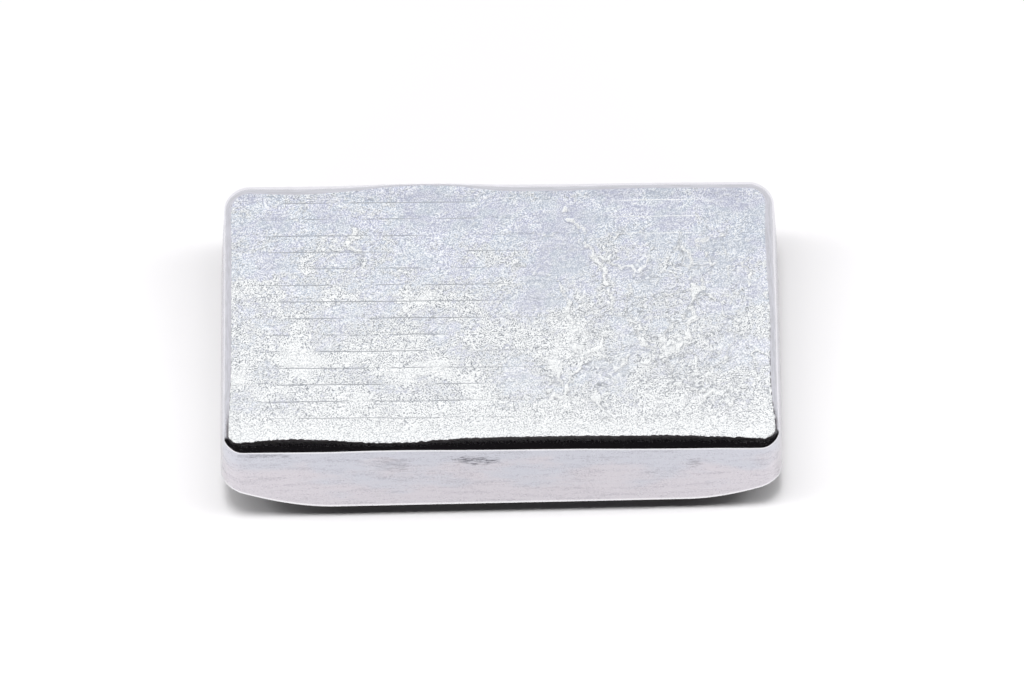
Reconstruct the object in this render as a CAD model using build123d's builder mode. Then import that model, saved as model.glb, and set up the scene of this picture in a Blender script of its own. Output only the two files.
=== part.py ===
from math import cos, pi, radians, sin, tan
import os

from build123d import *

os.makedirs("parts", exist_ok=True)

# A small ingot poured into an open milled mould and turned out upside down.
# The face that the mould's floor gave is on top, a little tilted to the free
# surface below, because the mould didn't stand quite level for the pour.
# Lengths are in millimetres and angles in degrees.

# Mould cavity
floor_length = 69.1
floor_depth = 35.8
mould_draft = 3.5
near_corner_radius = 2.2
far_corner_radius = 3.2
pour_tilt = 1.75
cast_thickness = 19.9

# Rim, where the metal stayed clear of the corner round the mould's floor. It is
# an arc that bulges past its own chord and meets the wall and the face at a crease
rim_height = 0.95
rim_width = 1.0
rim_bulge_share = 0.13

# Free surface, which is the underside of the ingot as it lies. It leaves the
# walls at this height along the sides and higher up in the corners, and it
# stands off the middle by a shift, so that it leaves the left end higher up
meniscus_height = 3.2
meniscus_flare = 42.0
meniscus_radius = 4.0
surface_corner_radius = 13.5
surface_shift = 1.1

# Shrinkage hollow in the middle of the free surface
hollow_length = 46.0
hollow_depth = 20.0
hollow_rise = 0.4

overrun = 4.0

# Widths of the rim as shares of rim_width, at even stations between corners
near_width_shares = [0.85, 1.25, 1.10, 0.68, 0.76, 1.16, 1.30, 1.34, 1.36, 1.33, 1.33, 1.10, 0.82]
right_width_shares = [0.25, 0.82, 0.88, 0.77, 1.00, 1.16, 1.04]
far_width_shares = [1.03, 0.98, 0.93, 1.10, 1.20, 1.10, 0.38, 0.38, 1.00, 1.40, 1.18]
left_width_shares = [0.82, 0.88, 0.88, 0.86, 0.78]

# Widths of the rim at the middle of each corner: near right, far right, far left, near left
corner_width_shares = [0.55, 1.05, 1.10, 0.50]

tilt = radians(pour_tilt)
draft = tan(radians(mould_draft))

flare = tan(radians(meniscus_flare))

# Radii of the mould's upright corners at its floor: near right, far right, far left, near left
corner_radii = [near_corner_radius, far_corner_radius, far_corner_radius, near_corner_radius]

# The face leans about a point that keeps the walls' lower edge centred on the origin
lean = (cast_thickness - meniscus_height) * tan(tilt) - surface_shift * draft / flare
mould_floor = Plane(
    origin=(lean, 0, cast_thickness),
    x_dir=(cos(tilt), 0, -sin(tilt)),
    z_dir=(sin(tilt), 0, cos(tilt)),
)


def spread(first, last, count):
    """Even stations from first to last."""
    return [first + (last - first) * index / (count - 1) for index in range(count)]


def rim_outline(drop, inset_share):
    """Outline of the rim at one drop below the face, as four sides and four corners."""
    half_length = floor_length / 2 + drop * draft
    half_depth = floor_depth / 2 + drop * draft
    end_x = [floor_length / 2 - radius for radius in corner_radii]
    end_y = [floor_depth / 2 - radius for radius in corner_radii]
    inset = rim_width * inset_share
    near = [
        (x, -half_depth + inset * share)
        for x, share in zip(spread(-end_x[3], end_x[0], len(near_width_shares)), near_width_shares)
    ]
    right = [
        (half_length - inset * share, y)
        for y, share in zip(spread(-end_y[0], end_y[1], len(right_width_shares)), right_width_shares)
    ]
    far = [
        (x, half_depth - inset * share)
        for x, share in zip(spread(end_x[1], -end_x[2], len(far_width_shares)), far_width_shares)
    ]
    left = [
        (-half_length + inset * share, y)
        for y, share in zip(spread(end_y[2], -end_y[3], len(left_width_shares)), left_width_shares)
    ]
    sides = [near, right, far, left]
    travels = [(1, 0), (0, 1), (-1, 0), (0, -1)]
    centres = [(1, -1), (1, 1), (-1, 1), (-1, -1)]
    for index, side in enumerate(sides):
        travel = travels[index]
        next_start = sides[(index + 1) % len(sides)][0]
        sign_x, sign_y = centres[index]
        radius = corner_radii[index] + drop * draft
        reach = (radius - inset * corner_width_shares[index]) * cos(pi / 4)
        middle = (sign_x * (end_x[index] + reach), sign_y * (end_y[index] + reach))
        if inset_share > 0:
            Spline(*side, tangents=(travel, travel))
        else:
            Line(side[0], side[-1])
        ThreePointArc(side[-1], middle, next_start)


# Free surface: a shallow bowl that the mould's walls cut off
wall_length = floor_length + 2 * draft * (cast_thickness - meniscus_height)
wall_depth = floor_depth + 2 * draft * (cast_thickness - meniscus_height)
bowl_height = cast_thickness + overrun

with BuildPart() as free_surface:
    with BuildSketch(Plane((surface_shift, 0, 0))):
        RectangleRounded(
            wall_length - 2 * flare * meniscus_height,
            wall_depth - 2 * flare * meniscus_height,
            surface_corner_radius - flare * meniscus_height,
        )
    extrude(amount=bowl_height, taper=-meniscus_flare)
    fillet(free_surface.faces().sort_by(Axis.Z)[0].edges(), meniscus_radius)

# Shrinkage hollow: a long, very flat barrel whose back just enters the metal
barrel_radius = (hollow_depth**2 / 4 + hollow_rise**2) / (2 * hollow_rise)

with BuildPart() as hollow:
    with BuildSketch(Plane.XZ):
        with BuildLine():
            crown = ThreePointArc((-hollow_length / 2, 0), (0, hollow_rise), (hollow_length / 2, 0))
            Polyline(
                crown @ 1,
                (hollow_length / 2, hollow_rise - barrel_radius),
                (-hollow_length / 2, hollow_rise - barrel_radius),
                crown @ 0,
            )
        make_face()
    revolve(axis=Axis((0, 0, hollow_rise - barrel_radius), (1, 0, 0)))

# Ingot: drafted walls, the rounded rim on top, and the free surface below
wall_reach = cast_thickness + floor_length * sin(tilt)

with BuildPart() as ingot:
    with BuildSketch(mould_floor.offset(-wall_reach)):
        with BuildLine():
            rim_outline(wall_reach, 0)
        make_face()
    extrude(amount=wall_reach - rim_height, taper=mould_draft)
    for rise_share, inset_share in ((0, 0), (0.5 + rim_bulge_share, 0.5 - rim_bulge_share), (1, 1)):
        drop = rim_height * (1 - rise_share)
        with BuildSketch(mould_floor.offset(-drop)):
            with BuildLine():
                rim_outline(drop, inset_share)
            make_face()
    loft()
    add(free_surface.part, mode=Mode.INTERSECT)
    add(hollow.part, mode=Mode.SUBTRACT)

ingot.part.label = "ingot"
export_step(ingot.part, "parts/ingot.step")
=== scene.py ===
from functools import partial, reduce
from math import cos, pi, radians, sin, tan

import bpy
import numpy as np
from bpy.props import FloatProperty, FloatVectorProperty, PointerProperty
from mathutils import Matrix, Vector


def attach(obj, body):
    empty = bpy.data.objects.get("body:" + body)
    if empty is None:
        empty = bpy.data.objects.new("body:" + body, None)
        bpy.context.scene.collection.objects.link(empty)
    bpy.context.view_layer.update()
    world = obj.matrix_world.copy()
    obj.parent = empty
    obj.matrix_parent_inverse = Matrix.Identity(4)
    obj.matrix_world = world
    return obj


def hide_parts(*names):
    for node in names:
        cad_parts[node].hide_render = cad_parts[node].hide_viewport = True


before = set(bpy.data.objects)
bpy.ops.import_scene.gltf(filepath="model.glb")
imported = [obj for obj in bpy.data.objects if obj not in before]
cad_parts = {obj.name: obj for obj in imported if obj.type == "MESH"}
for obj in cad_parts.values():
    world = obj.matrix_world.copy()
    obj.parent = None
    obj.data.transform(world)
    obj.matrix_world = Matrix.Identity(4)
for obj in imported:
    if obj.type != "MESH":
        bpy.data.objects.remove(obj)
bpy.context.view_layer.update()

bl_info = {
    "name": "Cast Metal Ingot",
    "version": (1, 0, 0),
    "blender": (4, 5, 0),
    "location": "3D View > Sidebar > Ingot",
    "description": "Builds a small cast ingot with a frosted face, a bright rim and a free surface below",
    "category": "Add Mesh",
}

MM = 0.001

# Widths of the rim as shares of the rim width, at even stations along each side
NEAR_WIDTHS = [0.85, 1.25, 1.10, 0.68, 0.76, 1.16, 1.30, 1.34, 1.36, 1.33, 1.33, 1.10, 0.82]
RIGHT_WIDTHS = [0.36, 0.82, 0.88, 0.77, 1.00, 1.16, 1.04]
FAR_WIDTHS = [1.03, 0.98, 0.93, 1.10, 1.20, 1.10, 0.38, 0.38, 1.00, 1.40, 1.18]
LEFT_WIDTHS = [0.82, 0.88, 0.88, 0.86, 0.58]

# The same at the middle of the corners near left, near right, far right and far left
CORNER_WIDTHS = [0.62, 0.62, 1.05, 1.10]

# Drops of the rim as shares of the rim height, at the near side's stations
NEAR_DROPS = [0.98, 1.00, 0.97, 0.70, 0.62, 0.72, 0.74, 0.70, 0.72, 0.86, 0.90, 0.87, 0.95]

# Rise of the rim over its width elsewhere, and its slope where it meets the face and the wall
RIM_SLOPE = 0.73
RIM_TOP_SLOPE = radians(15.0)
RIM_FOOT_SLOPE = radians(57.0)

# Teeth of the rim's border on the face in millimetres: length, depth, and added depth on the near side
TOOTH_LENGTH = 0.35
TOOTH_DEPTH = 0.03
NEAR_TOOTH_DEPTH = 0.11

# Relief of the face in millimetres: depth, half width and first place of the cutter's lines, depths of the
# ground between the crests, of the ripples and of the broad unevenness, and how far it fades towards the rim
LINE_DEPTH = 0.020
LINE_REACH = 0.14
FIRST_LINE = -13.8
GROUND_DEPTH = 0.024
RIPPLE_DEPTH = 0.014
BROAD_DEPTH = 0.025
RELIEF_FADE = 1.6

# Where that fading starts, as a share of the rim width
RELIEF_START = 0.9

# Crests on the face: start and end from its middle and half width, in millimetres
CRESTS = (
    ((8.6, 14.4), (11.4, 9.0), 0.30),
    ((11.4, 9.0), (13.2, 5.0), 0.42),
    ((13.2, 5.0), (13.8, -1.0), 0.36),
    ((22.6, 9.9), (24.6, 3.0), 0.32),
    ((24.6, 3.0), (23.4, -4.2), 0.26),
    ((12.8, 7.6), (17.4, 5.0), 0.22),
    ((17.4, 5.0), (18.4, 8.4), 0.18),
    ((21.6, -9.6), (29.4, -12.2), 0.30),
    ((24.8, -11.8), (30.6, -9.6), 0.25),
    ((13.6, -2.6), (6.4, -11.6), 0.28),
    ((-18.6, 11.0), (-17.0, 7.4), 0.45),
)

# Patches on the face: middle, half length and half depth in millimetres, and more frost or less of it
PATCHES = (
    ((-8.6, 3.3), (4.0, 1.4), 1.0),
    ((-24.6, -5.4), (2.4, 2.2), 1.2),
    ((-12.4, -7.5), (3.0, 1.6), 1.2),
    ((-2.4, -3.4), (3.0, 1.4), 1.0),
    ((10.0, -2.0), (3.0, 3.6), 1.0),
    ((5.2, 4.2), (1.8, 2.0), -1.5),
    ((8.2, 7.2), (2.4, 2.6), -1.2),
    ((2.4, -8.3), (2.6, 2.2), -1.4),
    ((5.0, 1.4), (3.0, 1.0), -0.9),
    ((16.0, 6.0), (2.6, 1.2), -1.2),
    ((17.0, -4.6), (2.0, 1.6), -1.4),
    ((13.0, -8.2), (2.8, 1.6), -1.3),
    ((-20.0, 0.4), (2.4, 1.4), -0.8),
)

# Scuffs on the near wall: place and half length along it in millimetres, place and half height as shares of
# the wall's height, counted down from its top, and strength
SCUFFS = (
    (-2.8, 2.7, 0.20, 0.09, 1.0),
    (-13.4, 2.4, 0.26, 0.13, 0.3),
    (24.4, 1.0, 0.28, 0.08, 0.6),
    (-29.3, 3.6, 0.07, 0.05, 0.6),
)

# Places in millimetres between which the bright lines and the crumpled folds come, stay and go
LIT_LINES_ALONG = (13.0, 17.0, 23.0, 27.0)
FOLDS_ALONG = (3.0, 12.0, 27.0, 33.0)
FOLDS_ACROSS = (-15.0, -10.0, 6.0, 11.5)

# Features of the noises in the finishes, in millimetres along the casting, across it and upwards
GRAIN_CELLS = (0.7, 0.6, 1.0)
RAGGED = (0.6, 0.45, 0.6)
WRINKLES = (0.8, 0.4, 0.8)
FILM_CLOUDS = (3.4, 2.2, 3.4)
LINE_WAVES = (9.0, 5.0, 9.0)
LINE_LENGTHS = (7.0, 1.3, 7.0)
FOLDS = (2.6, 1.4, 2.6)
FOLD_PATCHES = (3.2, 2.4, 3.2)
REFLECTION_DOTS = (0.45, 0.45, 0.45)
RIM_STREAKS = (3.0, 1.5, 0.15)
RIM_DUST = (0.2, 0.2, 0.2)
WALL_STROKES = (5.0, 5.0, 0.9)
WALL_SCRATCHES = (1.1, 1.1, 0.22)
WALL_GRAIN = (0.25, 0.25, 0.3)
WALL_CLOUDS = (7.0, 7.0, 4.0)
SCUFF_HAIRS = (1.8, 1.8, 0.22)
CRYSTALS = (2.4, 1.8, 2.0)
SURFACE_CLOUDS = (6.0, 5.0, 5.0)

# The grain's headings in degrees, and its length over its width
GRAIN_HEADINGS = (12.0, 68.0, -44.0)
GRAIN_STRETCH = 1.7

# Colours of small marks, of a painted reflection and of a painted highlight, in linear light
# Painted reflection of the dark front, in dots along the face's border
DARK_REFLECTION_COLOUR = (0.07, 0.06, 0.07)
RAGGED_COLOUR = (0.20, 0.18, 0.18)
STREAK_COLOUR = (0.78, 0.78, 0.81)
WORN_COLOUR = (0.13, 0.125, 0.15)
# Painted highlight along the wall's top and foot
WALL_HIGHLIGHT_COLOUR = (0.93, 0.93, 0.94)
CLOUD_COLOUR = (0.72, 0.73, 0.78)

# Roughness of the face, and its share of mirrored light
FROST_ROUGHNESS = 0.22
FROST_METALLIC = 0.6

# Height of the fine relief of the rim and the wall, and of the free surface, in millimetres
SMOOTH_RELIEF = 0.008
RIPPLED_RELIEF = 0.05

# The row of lamps overhead: their shares of the light, the angle between two, and the disc of each
LAMP_SHARES = (0.11, 0.08, 0.10, 0.48, 0.10, 0.08, 0.11)
LAMP_ANGLE = 11.0
LAMP_DISC = 12.0

# The small lamps near the ends: power in watts, size and place in millimetres
END_LAMP_POWER = 0.009
END_LAMP_SIZE = 9.0
END_LAMP_PLACE = (60.0, -15.0, 30.0)

# What the metal mirrors: the room's sides, its top, the bright patch and its direction, and the dark front
ROOM_SIDE = (0.78, 0.78, 0.80)
ROOM_TOP = (0.74, 0.74, 0.77)
ROOM_PATCH = (1.46, 1.46, 1.46)
PATCH_DIRECTION = (-0.08, 0.46, 0.884)
ROOM_FRONT = (0.010, 0.009, 0.010)
WHITE = (1.0, 1.0, 1.0)

# Width of the photograph in pixels, of the camera's sensor in millimetres, and the camera's range in metres
PHOTO_WIDTH = 1024
SENSOR_WIDTH = 36.0
CAMERA_RANGE = (0.01, 20.0)

# Segments of the outline along one long side and one short side, corner middle to corner middle
LONG_SEGMENTS = 336
SHORT_SEGMENTS = 176
RIM_ROWS = 8
WALL_ROWS = 8
FLANK_ROWS = 4
FILLET_ROWS = 8
HALVINGS = 40

# Steps inwards of the two rings between the free surface's turn and its grid, in millimetres
INWARD_STEPS = (0.5, 1.1)

# Material slots of the casting
FACE = 0
RIM = 1
WALL = 2
UNDERSIDE = 3

# Places over the edge: inside the face, on its border, and on the underside. The wall's top is nought and
# its foot is one
EDGE_FACE = -2.0
EDGE_BORDER = -1.0
EDGE_UNDERSIDE = 2.0


def length(name, millimetres):
    """A length that the user may change, kept in metres."""
    return FloatProperty(
        name=name, default=millimetres * MM, min=0.0, precision=5, subtype="DISTANCE", unit="LENGTH"
    )


def angle(name, degrees):
    """An angle that the user may change, kept in radians."""
    return FloatProperty(name=name, default=radians(degrees), subtype="ANGLE", unit="ROTATION")


def colour(name, value):
    """A colour in linear light."""
    return FloatVectorProperty(name=name, default=value, size=3, min=0.0, max=1.0, subtype="COLOR")


class CastingShape(bpy.types.PropertyGroup):
    """Sizes of the casting."""

    floor_length: length("Length of the mould's floor", 69.1)
    floor_depth: length("Depth of the mould's floor", 35.8)
    near_radius: length("Radius of the floor's near corners", 2.2)
    far_radius: length("Radius of the floor's far corners", 3.2)
    draft: angle("Slope of the mould's walls", 3.5)
    pour_tilt: angle("Tilt of the mould while it was filled", 1.75)
    thickness: length("Height of the face's middle", 19.9)
    rim_height: length("Drop of the rim from the face to the wall", 0.95)
    rim_width: length("Width of the rim where its share is one", 1.0)
    meniscus_height: length("Height at which the free surface leaves the sides", 3.2)
    meniscus_flare: angle("Lean of the free surface at the sides", 42.0)
    meniscus_radius: length("Radius of the turn under the free surface's edge", 4.0)
    bowl_corner_radius: length("Radius of the free surface's corners", 13.5)
    bowl_shift: length("Shift of the free surface from the thicker end", 1.1)
    hollow_length: length("Length of the shrinkage hollow", 46.0)
    hollow_depth: length("Depth of the shrinkage hollow", 20.0)
    hollow_rise: length("Height of the shrinkage hollow", 0.4)


class CastingFinish(bpy.types.PropertyGroup):
    """Colours and grain of the casting."""

    metal: colour("Clean metal", (0.86, 0.86, 0.90))
    # Also the colour of the highlights painted on the face
    frost: colour("Bare frosted grain", (0.970, 0.985, 0.985))
    film: colour("Smooth metal under its thin film", (0.53, 0.585, 0.69))
    lilac: colour("Film where it is thicker", (0.52, 0.54, 0.69))
    # Also the colour of the painted shade beside the ridges and folds and, in part, in the pits
    fleck_and_shade: colour("Pits in the frost", (0.32, 0.34, 0.37))
    wall_top: colour("Film on the upper wall", (0.575, 0.585, 0.64))
    wall_foot: colour("Film on the lower wall", (0.625, 0.595, 0.63))
    scuff: colour("Strokes on the wall", (0.34, 0.33, 0.37))
    grain_size: length("Width of one frosted grain", 0.13)
    grain_depth: length("Height of the frosted grain", 0.032)
    cutter_step: length("Distance between the cutter's lines", 2.24)


class StudioSettings(bpy.types.PropertyGroup):
    """Ground and camera."""

    ground: colour("Ground", (0.985, 0.975, 0.99))
    ground_size: length("Side of the ground", 6000.0)
    elevation: angle("Height of the camera over the horizon", 68.0)
    turn: angle("Turn of the camera round the casting", 4.074)
    roll: angle("Roll of the camera", 4.988)
    distance: length("Distance of the camera", 964.6)
    aim_right: length("Shift of the camera's aim to its right", 1.26)
    aim_up: length("Shift of the camera's aim upwards", 3.05)
    focal_pixels: FloatProperty(name="Focal length in pixels of the photograph", default=7564.3, min=1.0)


def smooth_step(value):
    """Zero below nought, one above one, and three squares less two cubes between."""
    held = np.clip(value, 0.0, 1.0)
    return held * held * (3.0 - 2.0 * held)


def lattice_noise(x, y, seed):
    """Smooth noise of two coordinates, from minus one to one: seeded random values on whole numbers,
    blended by smooth steps between the four that surround each point."""
    size = 256
    values = np.random.default_rng(seed).uniform(-1.0, 1.0, (size, size))
    column = np.floor(x).astype(int)
    row = np.floor(y).astype(int)
    across = smooth_step(x - column)
    along = smooth_step(y - row)
    column, next_column = column % size, (column + 1) % size
    row, next_row = row % size, (row + 1) % size
    lower = values[row, column] * (1 - across) + values[row, next_column] * across
    upper = values[next_row, column] * (1 - across) + values[next_row, next_column] * across
    return lower * (1 - along) + upper * along


def layered_noise(x, y, seed, layers=3):
    """The sum of noise at doubled frequencies and halved heights."""
    total = np.zeros(np.broadcast(x, y).shape)
    for layer in range(layers):
        total = total + lattice_noise(x * 2**layer, y * 2**layer, seed + layer) / 2**layer
    return total


class Outline:
    """The mould floor's outline, a rectangle with round corners, as a path and its outward normal.

    The outline at any offset is the path plus the offset along the normal. It starts at the middle of the
    near left corner and goes round by near, right, far and left."""

    def __init__(self, shape):
        half = np.array([shape.floor_length, shape.floor_depth]) / 2
        radii = [shape.near_radius, shape.near_radius, shape.far_radius, shape.far_radius]
        signs = np.array([(-1, -1), (1, -1), (1, 1), (-1, 1)])
        travels = np.array([(1, 0), (0, 1), (-1, 0), (0, -1)])
        counts = [LONG_SEGMENTS, SHORT_SEGMENTS, LONG_SEGMENTS, SHORT_SEGMENTS]
        side_widths = [NEAR_WIDTHS, RIGHT_WIDTHS, FAR_WIDTHS, LEFT_WIDTHS]
        slope = RIM_SLOPE * shape.rim_width / shape.rim_height
        path, normal, distance, stations, widths, drops = [], [], [], [], [], []
        walked = 0.0
        for side in range(4):
            first, last = radii[side], radii[(side + 1) % 4]
            start = signs[side] * (half - first)
            finish = signs[(side + 1) % 4] * (half - last)
            straight = abs((finish - start) @ travels[side])
            reach = pi / 4 * first + straight + pi / 4 * last
            local = np.arange(counts[side]) * reach / counts[side]
            past = local - pi / 4 * first - straight
            turn = np.clip(local / (pi / 4 * first), 0, 1) - 1 + np.clip(past / (pi / 4 * last), 0, 1)
            heading = -pi / 2 + side * pi / 2 + turn * pi / 4
            outward = np.stack([np.cos(heading), np.sin(heading)], axis=1)
            ahead = np.clip(local - pi / 4 * first, 0, straight)
            side_path = start + ahead[:, None] * travels[side] + first * outward
            path.append(np.where((past > 0)[:, None], finish + last * outward, side_path))
            normal.append(outward)
            distance.append(walked + local)
            places = walked + pi / 4 * first + straight * np.linspace(0, 1, len(side_widths[side]))
            stations.extend([walked, *places])
            widths.extend([CORNER_WIDTHS[side], *side_widths[side]])
            corner_drop = CORNER_WIDTHS[side] * slope
            side_drops = NEAR_DROPS if side == 0 else np.array(side_widths[side]) * slope
            drops.extend([corner_drop, *side_drops])
            walked += reach
        self.path = np.concatenate(path)
        self.normal = np.concatenate(normal)
        self.distance = np.concatenate(distance)
        self.perimeter = walked
        self.stations = np.array(stations)
        self.widths = np.array(widths)
        self.drops = np.minimum(drops, 1.0)

    def along(self, values):
        """Values between the stations round the outline, by a smooth cubic whose slope at each station is
        that of the line through its two neighbours."""
        stations = self.stations
        period = self.perimeter
        places = np.concatenate([stations[-2:] - period, stations, stations[:3] + period])
        heights = np.concatenate([values[-2:], values, values[:3]])
        slopes = np.zeros(len(places))
        slopes[1:-1] = (heights[2:] - heights[:-2]) / (places[2:] - places[:-2])
        left = np.searchsorted(places, self.distance, side="right") - 1
        gap = places[left + 1] - places[left]
        t = (self.distance - places[left]) / gap
        return (
            (2 * t**3 - 3 * t**2 + 1) * heights[left]
            + (t**3 - 2 * t**2 + t) * gap * slopes[left]
            + (3 * t**2 - 2 * t**3) * heights[left + 1]
            + (t**3 - t**2) * gap * slopes[left + 1]
        )

    def at(self, offset):
        """Points of the outline moved outwards by an offset."""
        return self.path + offset[:, None] * self.normal


def patch_between(ring, long_count, short_count):
    """A grid of points inside a closed ring: the sum of the two blends between facing sides, less the blend
    of the four corners."""
    near = ring[: long_count + 1]
    right = ring[long_count : long_count + short_count + 1]
    far = ring[long_count + short_count : 2 * long_count + short_count + 1][::-1]
    left = np.concatenate([ring[2 * long_count + short_count :], ring[:1]])[::-1]
    u = np.linspace(0, 1, long_count + 1)[None, :, None]
    v = np.linspace(0, 1, short_count + 1)[:, None, None]
    between_long = (1 - v) * near[None] + v * far[None]
    between_short = (1 - u) * left[:, None] + u * right[:, None]
    corners = (1 - v) * ((1 - u) * near[0] + u * near[-1]) + v * ((1 - u) * far[0] + u * far[-1])
    return between_long + between_short - corners


def ring_of_grid(long_count, short_count):
    """Numbers of a grid's border points, in the ring's order."""
    numbers = np.arange((long_count + 1) * (short_count + 1)).reshape(short_count + 1, long_count + 1)
    return np.concatenate([numbers[0, :-1], numbers[:-1, -1], numbers[-1, :0:-1], numbers[:0:-1, 0]])


def grid_faces(long_count, short_count, first):
    """Four-sided faces of a grid, turned up."""
    numbers = first + np.arange((long_count + 1) * (short_count + 1)).reshape(short_count + 1, long_count + 1)
    return np.stack(
        [numbers[:-1, :-1], numbers[:-1, 1:], numbers[1:, 1:], numbers[1:, :-1]], axis=-1
    ).reshape(-1, 4)


def band_faces(upper, lower):
    """Four-sided faces between two rings of the same count, turned outwards."""
    return np.stack([lower, np.roll(lower, -1), np.roll(upper, -1), upper], axis=1)


def halving_faces(outer, inner):
    """Triangles between a ring and one of half its count."""
    first = outer[0::2]
    middle = outer[1::2]
    last = np.roll(first, -1)
    following = np.roll(inner, -1)
    corners = ((inner, middle, first), (inner, following, middle), (following, last, middle))
    return np.concatenate([np.stack(corner, axis=1) for corner in corners])


def rim_profile(share_along, half_turn):
    """Inset and rise of the rim as shares of its width and height: an arc on its chord, that turns by twice
    the half turn."""
    heading = half_turn * (1 - 2 * share_along)
    chord = (np.sin(half_turn) - np.sin(heading)) / (2 * np.sin(half_turn))
    bulge = (np.cos(heading) - np.cos(half_turn)) / (2 * np.sin(half_turn))
    return chord - bulge, chord + bulge


def streak(x, y, start, end, width):
    """A bell across the line from start to end, by the distance to the line."""
    run_x, run_y = end[0] - start[0], end[1] - start[1]
    along = np.clip(((x - start[0]) * run_x + (y - start[1]) * run_y) / (run_x**2 + run_y**2), 0, 1)
    away = np.hypot(x - start[0] - along * run_x, y - start[1] - along * run_y)
    return np.exp(-((away / width) ** 2))


def face_crests(x, y):
    """Height from nought to one of the crests where cold tongues of metal met.

    It is the greatest of some bells across bent lines and of a net of folds on the right, which is a bell
    across the noughts of a noise, all of it broken by a finer noise."""
    bent_x = x + 0.9 * layered_noise(x / 1.9, y / 1.9, 21)
    bent_y = y + 0.9 * layered_noise(x / 1.9, y / 1.9, 24)
    crests = np.zeros(x.shape)
    for start, end, width in CRESTS:
        crests = np.maximum(crests, streak(bent_x, bent_y, start, end, width))
    fold = np.abs(layered_noise(bent_x / 3.0, bent_y / 4.2, 27, 2))
    region = smooth_step((x + 2.0) / 9.0) * smooth_step((y + 15.5) / 3.0) * smooth_step((13.0 - y) / 4.0)
    crests = np.maximum(crests, 0.8 * np.exp(-((fold / 0.09) ** 2)) * region)
    return crests * smooth_step(0.8 + 0.7 * layered_noise(x / 1.1, y / 1.1, 31, 2))


def face_frost(x, y, crests):
    """Share of frost on the face, where the rest is smooth metal under a film.

    It is a smooth step of a bent noise, a slope from the far side to the near one, which is painted light
    that makes the near side lighter, a lack on the right, the crests, and a bell for each of the patches."""
    bent_x = x + 1.2 * layered_noise(x / 3.0, y / 3.0, 61)
    bent_y = y + 0.9 * layered_noise(x / 3.0, y / 3.0, 64)
    # The slope along y is painted light: more frost, and so a lighter face, towards the near side
    amount = 0.65 * layered_noise(bent_x / 3.6, bent_y / 2.0, 67, 3) - 0.045 * y
    amount = amount - 0.25 * smooth_step((x - 1.0) / 6.0) * smooth_step((y + 13.0) / 3.0)
    amount = amount + 1.5 * smooth_step((-12.6 - y) / 2.0) + 1.3 * crests
    for middle, reach, strength in PATCHES:
        away = ((bent_x - middle[0]) / reach[0]) ** 2 + ((bent_y - middle[1]) / reach[1]) ** 2
        amount = amount + strength * np.exp(-away)
    return smooth_step(0.5 + 0.40 * amount)


def face_relief(x, y, crests, step):
    """Depth of the face's fine relief below its plane, in metres, all of it zero or less.

    It is the sum of the cutter's lines, which are narrow bells across the face's depth that come and go
    along its length, the ground between the crests, fine ripples on the right and a broad unevenness."""
    place = (y - FIRST_LINE - 0.05 * layered_noise(x / 6.0, y / 9.0, 11)) / step
    line = np.round(place)
    across = (place - line) * step
    presence = smooth_step(1.6 * layered_noise(x / 4.0, line * 5.3 + 0.5, 12, 2) + 0.5)
    bell = np.exp(-((across / LINE_REACH) ** 2))
    cutter = LINE_DEPTH * bell * presence * smooth_step((14.0 - x) / 10.0)
    ground = GROUND_DEPTH * (1 - crests)
    region = smooth_step((x + 2.0) / 10.0) * smooth_step((y + 16.0) / 4.0) * smooth_step((14.0 - y) / 5.0)
    ripples = 0.5 + 0.5 * layered_noise(x / 1.3, y / 0.8, 31, 2)
    ripples = RIPPLE_DEPTH * (0.25 + 0.75 * region) * ripples
    broad = BROAD_DEPTH * (1 + 0.5 * layered_noise(x / 9.0, y / 6.0, 41, 3))
    return -(cutter + ground + np.maximum(ripples, 0) + np.maximum(broad, 0)) * MM


class Bowl:
    """The free surface below: height as a function of the distance inside a round-cornered rectangle, flat in
    the middle, then an arc, then a straight flank that leans outwards, with a very flat barrel hollow."""

    def __init__(self, shape):
        self.shape = shape
        drop = shape.thickness - shape.meniscus_height
        spread = 2 * tan(shape.draft) * drop
        self.radius = shape.bowl_corner_radius
        self.shift = shape.bowl_shift
        self.core_x = (shape.floor_length + spread) / 2 - self.radius
        self.core_y = (shape.floor_depth + spread) / 2 - self.radius
        self.flare = shape.meniscus_flare
        self.fillet = shape.meniscus_radius
        self.turn = pi / 2 - self.flare
        # Distance inside the sides, counted negative, at which the flank ends and the flat begins
        arc_top = self.fillet * (1 - cos(self.turn))
        self.flank_end = -(shape.meniscus_height - arc_top) * tan(self.flare)
        self.flat_start = self.flank_end - self.fillet * sin(self.turn)

    def distance(self, x, y):
        """Distance outside the rectangle with round corners, negative inside it, and its direction."""
        away_x = np.abs(x - self.shift) - self.core_x
        away_y = np.abs(y) - self.core_y
        out_x = np.maximum(away_x, 0)
        out_y = np.maximum(away_y, 0)
        far = np.hypot(out_x, out_y)
        inside = np.minimum(np.maximum(away_x, away_y), 0)
        length_of = np.where(far > 0, far, 1)
        along_x = np.where(far > 0, out_x / length_of, (away_x > away_y) * 1.0) * np.sign(x - self.shift)
        along_y = np.where(far > 0, out_y / length_of, (away_x <= away_y) * 1.0) * np.sign(y)
        return far + inside - self.radius, along_x, along_y

    def height(self, signed):
        """Height of the bowl at a signed distance."""
        reach = np.clip(signed - self.flat_start, 0, self.fillet * sin(self.turn))
        arc = self.fillet - np.sqrt(self.fillet**2 - reach**2)
        return arc + np.maximum(signed - self.flank_end, 0) / tan(self.flare)

    def hollow(self, x, y):
        """Height of the shrinkage hollow: a circle across, whose top follows a circle along."""
        shape = self.shape
        rise = shape.hollow_rise
        barrel = (shape.hollow_depth**2 / 4 + rise**2) / (2 * rise)
        crown = (shape.hollow_length**2 / 4 + rise**2) / (2 * rise)
        top = rise - crown + np.sqrt(np.maximum(crown**2 - x**2, 0))
        local = np.maximum(barrel - rise + top, 0)
        return np.maximum(rise - barrel + np.sqrt(np.maximum(local**2 - y**2, 0)), 0)


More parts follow.
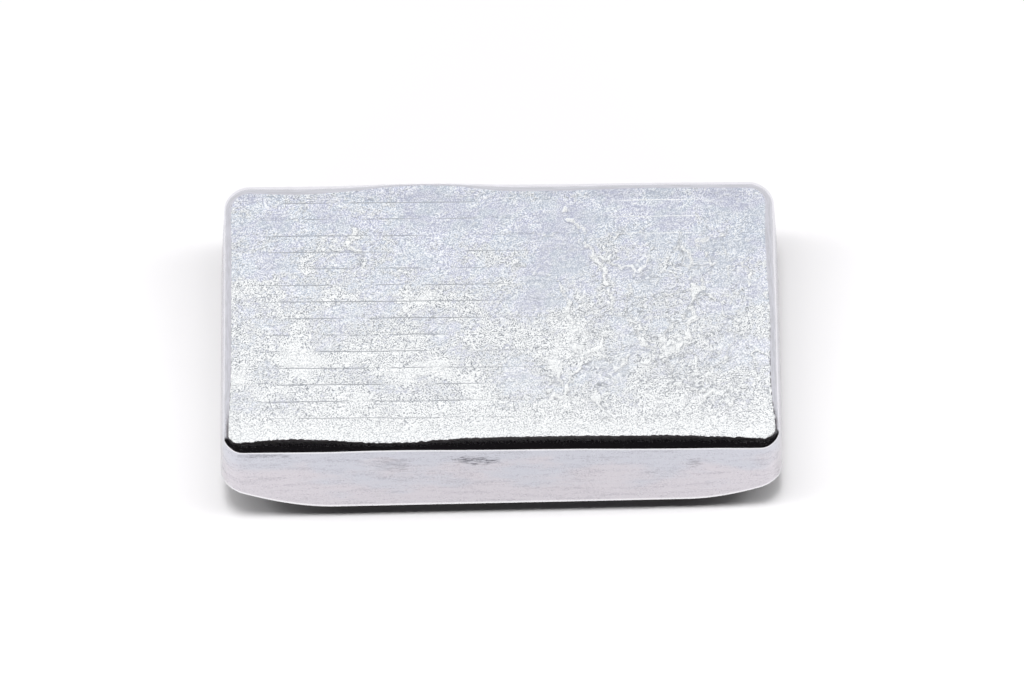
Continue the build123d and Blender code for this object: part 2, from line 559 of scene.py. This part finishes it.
def casting_mesh(shape, finish):
    """The whole casting as one closed skin.

    The face is a grid, and from its border rings go down over the rim and the wall to the free surface, then
    under it to a second, coarser grid. Every ring is the mould's outline at an offset and a drop, and the
    mould's own frame is tilted by the pour."""
    outline = Outline(shape)
    bowl = Bowl(shape)
    slope = tan(shape.draft)
    tilt = shape.pour_tilt
    lean = (shape.thickness - shape.meniscus_height) * tan(tilt) - shape.bowl_shift * slope / tan(bowl.flare)

    def to_ground(points, drop):
        """From the mould's own frame to the ground's."""
        a = points[..., 0]
        x = lean + a * cos(tilt) - drop * sin(tilt)
        z = shape.thickness - a * sin(tilt) - drop * cos(tilt)
        return np.stack([x, points[..., 1], z], axis=-1)

    width = shape.rim_width * outline.along(outline.widths)
    height = np.minimum(shape.rim_height * outline.along(outline.drops), shape.rim_height)
    jagged = np.abs(lattice_noise(outline.distance / (TOOTH_LENGTH * MM), 0 * width, 51))
    nearness = smooth_step(-outline.normal[:, 1] * 2)
    width = width + (TOOTH_DEPTH + NEAR_TOOTH_DEPTH * nearness) * MM * jagged
    chord = np.arctan2(height, width)
    half_turn = np.minimum(chord - RIM_TOP_SLOPE, RIM_FOOT_SLOPE - chord)

    edges = [np.full((SHORT_SEGMENTS + 1) * (LONG_SEGMENTS + 1), EDGE_FACE)]
    face_ring = outline.at(-width)
    face = patch_between(face_ring, LONG_SEGMENTS, SHORT_SEGMENTS)
    x = face[..., 0] / MM
    y = face[..., 1] / MM
    crests = face_crests(x, y)
    relief = face_relief(x, y, crests, finish.cutter_step / MM)
    inside = inset_of(face, shape) - shape.rim_width * RELIEF_START
    relief = relief * smooth_step(inside / (RELIEF_FADE * MM))
    points = [to_ground(face, -relief).reshape(-1, 3)]
    count = len(points[0])
    rings = [ring_of_grid(LONG_SEGMENTS, SHORT_SEGMENTS)]
    size = len(width)
    edges[0][rings[0]] = EDGE_BORDER

    def add_ring(ring, edge=EDGE_UNDERSIDE):
        """Keeps one more ring of points, with its place over the edge."""
        nonlocal count
        points.append(ring)
        edges.append(np.full(len(ring), edge))
        numbers = count + np.arange(len(ring))
        count += len(ring)
        rings.append(numbers)

    for row in range(RIM_ROWS - 1, -1, -1):
        inset, rise = rim_profile(row / RIM_ROWS, half_turn)
        drop = height * (1 - rise)
        add_ring(to_ground(outline.at(drop * slope - width * inset), drop), -row / RIM_ROWS)

    # Contact of the wall and the free surface, by halving the interval of the drop
    above = height.copy()
    below = np.full(size, shape.thickness * 1.2)
    for _ in range(HALVINGS):
        middle = (above + below) / 2
        place = to_ground(outline.at(middle * slope), middle)
        signed, _, _ = bowl.distance(place[:, 0], place[:, 1])
        higher = place[:, 2] > bowl.height(signed)
        above = np.where(higher, middle, above)
        below = np.where(higher, below, middle)
    contact_drop = (above + below) / 2
    for row in range(1, WALL_ROWS + 1):
        drop = height + (contact_drop - height) * row / WALL_ROWS
        add_ring(to_ground(outline.at(drop * slope), drop), row / WALL_ROWS)
    contact = points[-1]

    signed, out_x, out_y = bowl.distance(contact[:, 0], contact[:, 1])
    stops = [signed + (bowl.flank_end - signed) * row / FLANK_ROWS for row in range(1, FLANK_ROWS + 1)]
    for row in range(FILLET_ROWS - 1, -1, -1):
        stops.append(np.full(size, bowl.flat_start + bowl.fillet * sin(bowl.turn * row / FILLET_ROWS)))
    for stop in stops:
        back = stop - signed
        place_x = contact[:, 0] + back * out_x
        place_y = contact[:, 1] + back * out_y
        add_ring(np.stack([place_x, place_y, bowl.height(stop)], axis=1))

    quads = [grid_faces(LONG_SEGMENTS, SHORT_SEGMENTS, 0)]
    materials = [np.full(len(quads[0]), FACE)]
    for index in range(len(rings) - 1):
        quads.append(band_faces(rings[index], rings[index + 1]))
        region = RIM if index < RIM_ROWS else WALL if index < RIM_ROWS + WALL_ROWS else UNDERSIDE
        materials.append(np.full(size, region))

    # A ring of half the count, then the coarse grid, whose border is a ring of half that count
    triangles = []
    outer = points[-1]
    for inward in INWARD_STEPS:
        outer = outer[0::2]
        _, out_x, out_y = bowl.distance(outer[:, 0], outer[:, 1])
        place_x = outer[:, 0] - inward * MM * out_x
        place_y = outer[:, 1] - inward * MM * out_y
        outer = np.stack([place_x, place_y, bowl.hollow(place_x, place_y)], axis=1)
        if len(outer) == size // 2:
            add_ring(outer)
            triangles.append(halving_faces(rings[-2], rings[-1]))
    coarse_long = LONG_SEGMENTS // 4
    coarse_short = SHORT_SEGMENTS // 4
    below_patch = patch_between(outer, coarse_long, coarse_short)
    below_patch[..., 2] = bowl.hollow(below_patch[..., 0], below_patch[..., 1])
    first = count
    points.append(below_patch.reshape(-1, 3))
    edges.append(np.full(below_patch[..., 0].size, EDGE_UNDERSIDE))
    triangles.append(halving_faces(rings[-1], first + ring_of_grid(coarse_long, coarse_short)))
    floor_quads = grid_faces(coarse_long, coarse_short, first)[:, ::-1]
    quads.append(floor_quads)
    materials.append(np.full(len(floor_quads), UNDERSIDE))
    quads = np.concatenate(quads)
    triangles = np.concatenate(triangles)
    materials = np.concatenate(materials + [np.full(len(triangles), UNDERSIDE)])
    creases = [rings[0], rings[RIM_ROWS], rings[RIM_ROWS + WALL_ROWS]]
    edges = np.concatenate(edges)
    marks = {"edge": edges}
    for name, values in (("crest", crests), ("frost", face_frost(x, y, crests))):
        marks[name] = np.zeros(len(edges))
        marks[name][: values.size] = values.ravel()
    return np.concatenate(points), quads, triangles, materials, creases, marks


def inset_of(face, shape):
    """Distance of the face's points inside the mould floor's outline."""
    away_x = np.abs(face[..., 0]) - (shape.floor_length / 2 - shape.far_radius)
    away_y = np.abs(face[..., 1]) - (shape.floor_depth / 2 - shape.far_radius)
    far = np.hypot(np.maximum(away_x, 0), np.maximum(away_y, 0))
    return shape.far_radius - far - np.minimum(np.maximum(away_x, away_y), 0)


def add_object(name, data):
    """A new object in the scene."""
    thing = bpy.data.objects.new(name, data)
    bpy.context.scene.collection.objects.link(thing)
    return thing


def mesh_object(name, points, quads, triangles, materials, creases, marks):
    """A mesh object from whole arrays, shaded smooth but for its creases. Its mark named edge goes from minus
    one at the face's border to nought at the wall's top and one at the wall's foot, and crest and frost are
    the height of the face's crests and its share of frost."""
    mesh = bpy.data.meshes.new(name)
    mesh.vertices.add(len(points))
    mesh.vertices.foreach_set("co", points.astype(np.float32).ravel())
    loops = np.concatenate([quads.ravel(), triangles.ravel()])
    mesh.loops.add(len(loops))
    mesh.loops.foreach_set("vertex_index", loops.astype(np.int32))
    starts = np.concatenate([np.arange(len(quads)) * 4, len(quads) * 4 + np.arange(len(triangles)) * 3])
    mesh.polygons.add(len(starts))
    mesh.polygons.foreach_set("loop_start", starts.astype(np.int32))
    mesh.polygons.foreach_set("material_index", materials.astype(np.int32))
    mesh.update(calc_edges=True)
    mesh.validate()
    mesh.shade_smooth()
    ends = np.zeros(len(mesh.edges) * 2, np.int32)
    mesh.edges.foreach_get("vertices", ends)
    ends = ends.reshape(-1, 2)
    belongs = np.zeros(len(points), np.int32)
    for number, crease in enumerate(creases):
        belongs[crease] = number + 1
    sharp = (belongs[ends[:, 0]] == belongs[ends[:, 1]]) & (belongs[ends[:, 0]] > 0)
    mesh.attributes.new("sharp_edge", "BOOLEAN", "EDGE").data.foreach_set("value", sharp)
    for label, values in marks.items():
        mesh.attributes.new(label, "FLOAT", "POINT").data.foreach_set("value", values.astype(np.float32))
    return add_object(name, mesh)


def feed(node, name, value):
    """Gives an input of a node its value, or the output of another node."""
    if isinstance(value, bpy.types.NodeSocket):
        node.id_data.links.new(value, node.inputs[name])
    else:
        node.inputs[name].default_value = value


def put(beside, kind, inputs=None, **settings):
    """Adds a node to the tree that a socket or a node belongs to, or to a tree itself."""
    node = beside.id_data.nodes.new(kind)
    for name, value in settings.items():
        setattr(node, name, value)
    for name, value in (inputs or {}).items():
        feed(node, name, value)
    return node


def work(operation, first, second=0.0):
    """The result of a sum on a socket and a second value."""
    return put(first, "ShaderNodeMath", {0: first, 1: second}, operation=operation).outputs[0]


def plus(*values):
    """The sum of some values, the first a socket."""
    return reduce(partial(work, "ADD"), values)


def times(*values):
    """The product of some values, the first a socket."""
    return reduce(partial(work, "MULTIPLY"), values)


def greatest(*values):
    """The greatest of some values, the first a socket."""
    return reduce(partial(work, "MAXIMUM"), values)


def swing(value, amount):
    """How far a noise stands off its middle of a half, times an amount."""
    return times(plus(value, -0.5), amount)


def ramp(value, low, high, low_out=0.0, high_out=1.0):
    """A value taken smoothly from one range to another."""
    node = put(
        value,
        "ShaderNodeMapRange",
        {"Value": value, "From Min": low, "From Max": high, "To Min": low_out, "To Max": high_out},
        interpolation_type="SMOOTHSTEP",
    )
    return node.outputs["Result"]


def window(value, edges, height=1.0):
    """A height between the two inner edges, nought outside the two outer ones, and smooth between."""
    return times(ramp(value, edges[0], edges[1]), ramp(value, edges[3], edges[2], 0.0, height))


def blend_value(factor, first, second):
    """A number between two others."""
    inputs = {"Factor": factor, "A": first, "B": second}
    return put(factor, "ShaderNodeMix", inputs, data_type="FLOAT").outputs["Result"]


def blend_colour(factor, first, second):
    """A colour between two others. The colour sockets are the mix node's seventh and eighth."""
    node = put(factor, "ShaderNodeMix", {"Factor": factor}, data_type="RGBA")
    for index, value in ((6, first), (7, second)):
        plain = not isinstance(value, bpy.types.NodeSocket)
        feed(node, index, (*value, 1.0) if plain else value)
    return node.outputs[2]


def turned(place, sizes, turn):
    """Coordinates in units of the given sizes in millimetres, along axes turned about the upright."""
    scale = tuple(size * MM for size in sizes)
    inputs = {"Vector": place, "Rotation": (0.0, 0.0, turn), "Scale": scale}
    return put(place, "ShaderNodeMapping", inputs, vector_type="TEXTURE").outputs[0]


def noise(place, sizes, detail, roughness, turn=0.0, distortion=0.0):
    """Noise whose features have the given sizes in millimetres, along axes turned about the upright."""
    inputs = {
        "Vector": turned(place, sizes, turn),
        "Scale": 1.0,
        "Detail": detail,
        "Roughness": roughness,
        "Distortion": distortion,
    }
    return put(place, "ShaderNodeTexNoise", inputs).outputs["Fac"]


def cells(place, sizes, turn, **settings):
    """Cells of the given sizes in millimetres, along axes turned about the upright."""
    inputs = {"Vector": turned(place, sizes, turn), "Scale": 1.0}
    return put(place, "ShaderNodeTexVoronoi", inputs, **settings).outputs


def mark(place, name):
    """One of the casting's own marks."""
    return put(place, "ShaderNodeAttribute", attribute_name=name).outputs["Fac"]


def in_millimetres(place):
    """The coordinates along the casting and across it, in millimetres."""
    parts = put(place, "ShaderNodeSeparateXYZ", {"Vector": place}).outputs
    return work("DIVIDE", parts["X"], MM), work("DIVIDE", parts["Y"], MM)


def empty_tree(owner):
    """The node tree of a material or a world, emptied."""
    owner.use_nodes = True
    owner.node_tree.nodes.clear()
    return owner.node_tree


def new_material(name, metallic=1.0):
    """An empty material, its object coordinates and its surface."""
    material = bpy.data.materials.new(name)
    tree = empty_tree(material)
    place = tree.nodes.new("ShaderNodeTexCoord").outputs["Object"]
    surface = put(tree, "ShaderNodeBsdfPrincipled", {"Metallic": metallic})
    put(tree, "ShaderNodeOutputMaterial", {"Surface": surface.outputs[0]})
    return material, place, surface


def dress(surface, skin, roughness, raised, depth):
    """Gives a surface its colour, its roughness, and a relief of the given depth in metres."""
    bump = put(surface, "ShaderNodeBump", {"Height": raised, "Strength": 1.0, "Distance": depth})
    feed(surface, "Base Color", skin)
    feed(surface, "Roughness", roughness)
    feed(surface, "Normal", bump.outputs[0])


def grain_of_face(place, size):
    """The frost's grain: three noises drawn out along three headings, of which every small cell shows one."""
    sizes = (size * GRAIN_STRETCH, size, size)
    grains = [noise(place, sizes, 1.0, 0.6, radians(heading)) for heading in GRAIN_HEADINGS]
    hue = cells(place, GRAIN_CELLS, 0.3)["Color"]
    pick = put(place, "ShaderNodeSeparateColor", {"Color": hue}).outputs[0]
    grain = blend_value(work("GREATER_THAN", pick, 0.4), grains[0], grains[1])
    return blend_value(work("GREATER_THAN", pick, 0.7), grain, grains[2])


def film_of_face(place, y, given, wrinkles, finish):
    """The film on the smooth metal: bluish or lilac, paler on its wrinkles, paler towards the near side as
    painted light, and darker where the share of frost is least."""
    hue = noise(place, FILM_CLOUDS, 3.0, 0.55, 0.5)
    film = blend_colour(ramp(hue, 0.43, 0.57), finish.film, finish.lilac)
    # Paler on the wrinkles, and towards the near side as painted light
    pale = plus(ramp(wrinkles, 0.42, 0.68, 0.0, 0.55), ramp(y, 13.0, -14.0, 0.0, 0.35))
    film = blend_colour(pale, film, finish.frost)
    return blend_colour(ramp(given, 0.20, 0.0, 0.0, 0.24), film, finish.fleck_and_shade)


def cutter_lines(place, x, y, step):
    """Where the cutter's lines show dark and where they show bright.

    They are narrow bands at even steps across the face. A noise lets the dark ones come and go, and they
    fade towards the right. The bright ones, on the far right, are painted highlights."""
    waver = noise(place, LINE_WAVES, 2.0, 0.5)
    path = work("DIVIDE", plus(y, swing(waver, 0.3), -FIRST_LINE), step)
    away = work("ABSOLUTE", work("SUBTRACT", path, work("ROUND", path)))
    line = ramp(away, 0.045, 0.015)
    lit = times(line, ramp(y, 9.6, 11.0), window(x, LIT_LINES_ALONG, 0.8))
    shown = ramp(noise(place, LINE_LENGTHS, 2.0, 0.6), 0.40, 0.52)
    fading = ramp(plus(x, times(shown, -8.0)), 2.0, -16.0, 0.2, 1.0)
    dark = times(line, shown, ramp(y, -14.6, -13.4), ramp(x, -31.0, -27.0), fading)
    return dark, lit


def crumpled_folds(place, x, y):
    """Painted highlights on the tops and painted shade along the hems of the crumpled folds on the right: the
    values at the middle of a swirled noise and those a little over it, where another noise and the place let
    them show."""
    patchy = ramp(noise(place, FOLD_PATCHES, 2.0, 0.5, 0.9), 0.42, 0.55)
    region = times(window(x, FOLDS_ALONG), window(y, FOLDS_ACROSS), patchy)
    aside = plus(noise(place, FOLDS, 3.0, 0.6, 0.3, 1.5), -0.5)
    fold_highlight = times(ramp(work("ABSOLUTE", aside), 0.030, 0.008), region)
    fold_shade = times(window(aside, (0.020, 0.035, 0.05, 0.085)), region)
    return fold_highlight, fold_shade


def frosted_face(finish):
    """The mould floor's print: white frost full of small dark pits, partly painted shade, and between it
    smooth metal under a thin bluish film. Over both go the cutter's dark lines, painted highlights on the
    bright lines, the ridges and the crumpled folds' tops, painted shade beside the ridges and along the
    folds' hems, painted glints on the grain, and dark dots along the border, a painted reflection of the dark
    front. The frost scatters part of the light evenly, like a powder."""
    material, place, surface = new_material("frosted_face", FROST_METALLIC)
    x, y = in_millimetres(place)
    crest = mark(place, "crest")
    given = mark(place, "frost")
    grain = grain_of_face(place, finish.grain_size / MM)
    ragged = noise(place, RAGGED, 4.0, 0.75, 0.4)
    wrinkles = noise(place, WRINKLES, 4.0, 0.75, 0.2)
    dark_lines, lit_lines = cutter_lines(place, x, y, finish.cutter_step / MM)
    fold_highlight, fold_shade = crumpled_folds(place, x, y)

    # Frost or film, which mingle where neither has the upper hand
    frosted = ramp(plus(given, swing(ragged, 2.6)), 0.20, 0.80)
    skin = blend_colour(frosted, film_of_face(place, y, given, wrinkles, finish), finish.frost)

    # Painted highlights, in the bare frost's colour, on the grain, ridges, bright lines and folds' tops
    quiet = ramp(given, 0.0, 0.16, 0.60, 1.0)
    grain_highlights = times(ramp(grain, 0.51, 0.605), quiet, 0.8)
    ridge = times(ramp(plus(crest, swing(ragged, 2.2)), 0.40, 0.62), ramp(crest, 0.1, 0.3))
    for bare in (grain_highlights, greatest(times(ridge, 0.9), lit_lines), times(fold_highlight, 0.65)):
        skin = blend_colour(bare, skin, finish.frost)

    # Dark pits, partly the grain's own flecks and partly painted shade in its hollows, fewer on the film,
    # along the near border, in the fullest frost and on the ridges and folds, and with them painted shade
    # along the folds' hems and beside the ridges, and the dark lines
    pits = times(
        ramp(grain, 0.485, 0.39),
        ramp(frosted, 0.0, 1.0, 0.55, 1.0),
        ramp(y, -13.0, -15.5, 1.0, 0.7),
        blend_value(ramp(y, -13.5, -10.5), 0.9, ramp(given, 0.84, 0.98, 1.0, 0.50)),
        quiet,
        blend_value(greatest(ridge, fold_highlight), 1.0, 0.5),
    )
    ridge_shade = times(window(crest, (0.08, 0.24, 0.30, 0.48)), ramp(ragged, 0.56, 0.44, 0.0, 0.6))
    dark = greatest(pits, times(fold_shade, 0.8), ridge_shade, times(dark_lines, 0.8))
    skin = blend_colour(dark, skin, finish.fleck_and_shade)

    # Dark dots along the face's border, a painted reflection of the dark front, stronger on the near side
    border_reflection = times(
        ramp(mark(place, "edge"), -1.9, -1.4),
        ramp(noise(place, REFLECTION_DOTS, 1.0, 0.5), 0.42, 0.52),
        ramp(y, 2.0, -6.0, 0.12, 1.0),
    )
    skin = blend_colour(border_reflection, skin, DARK_REFLECTION_COLOUR)
    raised = plus(
        times(grain, ramp(frosted, 0.0, 1.0, 0.35, 1.0)), times(wrinkles, 1.2), times(crest, 0.4)
    )
    dress(surface, skin, FROST_ROUGHNESS, raised, finish.grain_depth)
    return material


def bright_rim(finish):
    """The rim, which the mould didn't touch: bright, nearly a mirror, with streaks along it and a ragged,
    dull edge where it leaves the face on the near side."""
    material, place, surface = new_material("bright_rim")
    _, y = in_millimetres(place)
    streaks = noise(place, RIM_STREAKS, 3.0, 0.6)
    dust = noise(place, RIM_DUST, 2.0, 0.6)
    ragged = ramp(plus(mark(place, "edge"), swing(dust, 0.9)), -0.40, -0.90)
    ragged = times(ragged, ramp(y, -12.0, -15.0))
    skin = blend_colour(ramp(streaks, 0.35, 0.65), STREAK_COLOUR, finish.metal)
    skin = blend_colour(times(ragged, 0.75), skin, RAGGED_COLOUR)
    roughness = blend_value(ragged, ramp(streaks, 0.3, 0.7, 0.14, 0.07), 0.42)
    raised = plus(streaks, times(dust, ragged, 2.0))
    dress(surface, skin, roughness, raised, SMOOTH_RELIEF * MM)
    return material


def scuffs_on_wall(place, x, y, edge, scratches):
    """Where the near wall is scuffed: ellipses with a scratchy border, broken up into hairs."""
    uneven = swing(scratches, 4.0)
    worn = 0.0
    for middle, reach, level, spread, strength in SCUFFS:
        along = work("POWER", work("DIVIDE", work("SUBTRACT", x, middle), reach), 2.0)
        down = work("POWER", work("DIVIDE", work("SUBTRACT", edge, level), spread), 2.0)
        worn = greatest(ramp(plus(along, down, uneven), 1.3, 0.3, 0.0, strength), worn)
    hairs = ramp(noise(place, SCUFF_HAIRS, 4.0, 0.7), 0.54, 0.47)
    return times(worn, work("LESS_THAN", y, 0.0), hairs)


def drawn_wall(finish):
    """The wall that slid out of the mould: satin, clouded in long strokes of bluish and pinkish film, finely
    scratched, scuffed here and there on the near side, and painted with highlights along its top and its
    foot."""
    material, place, surface = new_material("drawn_wall")
    x, y = in_millimetres(place)
    edge = mark(place, "edge")
    strokes = noise(place, WALL_STROKES, 4.0, 0.6)
    scratches = noise(place, WALL_SCRATCHES, 3.0, 0.65)
    grain = noise(place, WALL_GRAIN, 2.0, 0.6)
    clouds = noise(place, WALL_CLOUDS, 3.0, 0.55, 0.4)
    lower = ramp(plus(edge, swing(clouds, 1.8)), 0.15, 0.75)
    tint = blend_colour(lower, finish.wall_top, finish.wall_foot)
    shade = plus(times(strokes, 0.35), times(scratches, 0.30), times(grain, 0.35))
    skin = blend_colour(ramp(shade, 0.37, 0.52, 0.50, 0.0), tint, finish.scuff)
    skin = blend_colour(scuffs_on_wall(place, x, y, edge, scratches), skin, WORN_COLOUR)
    # Painted highlights along the top and the foot, where the wall's turns would mirror the bright ground
    painted_highlight = plus(ramp(edge, 0.035, 0.01), ramp(edge, 0.955, 0.985))
    skin = blend_colour(times(painted_highlight, 0.8), skin, WALL_HIGHLIGHT_COLOUR)
    dress(surface, skin, ramp(shade, 0.38, 0.58, 0.32, 0.22), shade, SMOOTH_RELIEF * MM)
    return material


def free_surface(finish):
    """The surface that froze in the open: bright, with shallow ripples and a grain of crystals."""
    material, place, surface = new_material("free_surface")
    crystals = cells(place, CRYSTALS, 0.2, feature="SMOOTH_F1")["Distance"]
    clouds = noise(place, SURFACE_CLOUDS, 4.0, 0.55, 0.2)
    skin = blend_colour(ramp(clouds, 0.35, 0.65), CLOUD_COLOUR, finish.metal)
    raised = plus(times(crystals, 0.5), clouds)
    dress(surface, skin, ramp(clouds, 0.3, 0.7, 0.30, 0.16), raised, RIPPLED_RELIEF * MM)
    return material


def lay_ground(studio):
    """A wide pale sheet, level with the casting's foot."""
    half = studio.ground_size / 2
    corners = [(-half, -half, 0), (half, -half, 0), (half, half, 0), (-half, half, 0)]
    mesh = bpy.data.meshes.new("ground")
    mesh.from_pydata(corners, [], [(0, 1, 2, 3)])
    material = bpy.data.materials.new("pale_ground")
    diffuse = put(empty_tree(material), "ShaderNodeBsdfDiffuse", {"Color": (*studio.ground, 1.0)})
    put(diffuse, "ShaderNodeOutputMaterial", {"Surface": diffuse.outputs[0]})
    mesh.materials.append(material)
    ground = add_object("ground", mesh)


def place_lamp(name, lamp, place, lean):
    """Puts a lamp, leant along the casting, that lights the ground and doesn't show in the metal."""
    lamp_object = add_object(name, lamp)
    lamp_object.location = place
    lamp_object.rotation_euler = (0.0, lean, 0.0)
    lamp_object.visible_glossy = False


def hang_lamps():
    """A row of lamps overhead, which together are a long narrow one along the casting, and a small lamp near
    each end."""
    for number, strength in enumerate(LAMP_SHARES):
        lamp = bpy.data.lights.new(f"lamp_{number}", "SUN")
        lamp.energy = strength * pi
        lamp.angle = radians(LAMP_DISC)
        lean = radians(LAMP_ANGLE * (number - len(LAMP_SHARES) // 2))
        place_lamp(f"lamp_{number}", lamp, (0.0, 0.0, 0.0), lean)
    along, across, up = (value * MM for value in END_LAMP_PLACE)
    for name, side in (("left_lamp", -1.0), ("right_lamp", 1.0)):
        lamp = bpy.data.lights.new(name, "POINT")
        lamp.energy = END_LAMP_POWER
        lamp.shadow_soft_size = END_LAMP_SIZE * MM
        place_lamp(name, lamp, (side * along, across, up), 0.0)


def build_room():
    """The room that the metal mirrors: grey, with a bright patch above and behind, and dark in front. The
    camera sees white in its place, and the ground gets hardly any light from it."""
    world = bpy.data.worlds.new("studio")
    bpy.context.scene.world = world
    tree = empty_tree(world)
    world.cycles.sampling_method = "NONE"
    way = tree.nodes.new("ShaderNodeTexCoord").outputs["Generated"]
    parts = put(tree, "ShaderNodeSeparateXYZ", {"Vector": way}).outputs
    room = blend_colour(ramp(parts["Z"], 0.05, 0.45), ROOM_SIDE, ROOM_TOP)
    facing = put(tree, "ShaderNodeVectorMath", {0: way, 1: PATCH_DIRECTION}, operation="DOT_PRODUCT")
    room = blend_colour(ramp(facing.outputs["Value"], 0.93, 0.998), room, ROOM_PATCH)
    room = blend_colour(ramp(parts["Y"], 0.06, 0.20), ROOM_FRONT, room)
    rays = tree.nodes.new("ShaderNodeLightPath").outputs
    seen = blend_colour(rays["Is Glossy Ray"], ROOM_FRONT, room)
    seen = blend_colour(rays["Is Camera Ray"], seen, WHITE)
    background = put(tree, "ShaderNodeBackground", {"Color": seen, "Strength": 1.0})
    put(tree, "ShaderNodeOutputWorld", {"Surface": background.outputs[0]})


def place_camera(studio):
    """The camera looks down from the front, a little turned and rolled, with a long lens."""
    flat = cos(studio.elevation)
    back = Vector((sin(studio.turn) * flat, -cos(studio.turn) * flat, sin(studio.elevation)))
    level = Vector((cos(studio.turn), sin(studio.turn), 0.0))
    up = back.cross(level)
    right = level * cos(studio.roll) - up * sin(studio.roll)
    top = level * sin(studio.roll) + up * cos(studio.roll)
    data = bpy.data.cameras.new("camera")
    data.lens = SENSOR_WIDTH * studio.focal_pixels / PHOTO_WIDTH
    data.sensor_width = SENSOR_WIDTH
    data.clip_start, data.clip_end = CAMERA_RANGE
    stand = Matrix((right, top, back)).transposed().to_4x4()
    stand.translation = right * studio.aim_right + top * studio.aim_up + back * studio.distance
    camera = add_object("camera", data)
    camera.matrix_world = stand
    bpy.context.scene.camera = camera


class INGOT_OT_casting(bpy.types.Operator):
    """Build the casting with its face, rim, walls and free surface"""

    bl_idname = "ingot.casting"
    bl_label = "Casting"

    def execute(self, context):
        shape = context.scene.ingot_shape
        finish = context.scene.ingot_finish
        casting = mesh_object("casting", *casting_mesh(shape, finish))
        for make in (frosted_face, bright_rim, drawn_wall, free_surface):
            casting.data.materials.append(make(finish))
        casting.visible_diffuse = False
        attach(casting, "root")
        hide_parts("ingot")
        return {"FINISHED"}


class INGOT_OT_studio(bpy.types.Operator):
    """Lay the ground, light it and set up the camera"""

    bl_idname = "ingot.studio"
    bl_label = "Studio"

    def execute(self, context):
        studio = context.scene.ingot_studio
        lay_ground(studio)
        hang_lamps()
        build_room()
        place_camera(studio)
        context.scene.view_settings.view_transform = "Standard"
        return {"FINISHED"}


class INGOT_PT_panel(bpy.types.Panel):
    """Lists the casting's operators and settings"""

    bl_label = "Ingot"
    bl_idname = "INGOT_PT_panel"
    bl_space_type = "VIEW_3D"
    bl_region_type = "UI"
    bl_category = "Ingot"

    def draw(self, context):
        layout = self.layout
        layout.operator(INGOT_OT_casting.bl_idname)
        layout.operator(INGOT_OT_studio.bl_idname)
        for group in (context.scene.ingot_shape, context.scene.ingot_finish, context.scene.ingot_studio):
            box = layout.box()
            for name in group.__annotations__:
                box.prop(group, name)


CLASSES = (
    CastingShape,
    CastingFinish,
    StudioSettings,
    INGOT_OT_casting,
    INGOT_OT_studio,
    INGOT_PT_panel,
)


def register():
    """Adds the classes and their settings to Blender."""
    for kind in CLASSES:
        bpy.utils.register_class(kind)
    bpy.types.Scene.ingot_shape = PointerProperty(type=CastingShape)
    bpy.types.Scene.ingot_finish = PointerProperty(type=CastingFinish)
    bpy.types.Scene.ingot_studio = PointerProperty(type=StudioSettings)


def unregister():
    """Takes them out again."""
    del bpy.types.Scene.ingot_studio
    del bpy.types.Scene.ingot_finish
    del bpy.types.Scene.ingot_shape
    for kind in reversed(CLASSES):
        bpy.utils.unregister_class(kind)


def main():
    """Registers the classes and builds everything."""
    register()
    bpy.ops.ingot.studio()
    bpy.ops.ingot.casting()


if __name__ == "__main__":
    main()
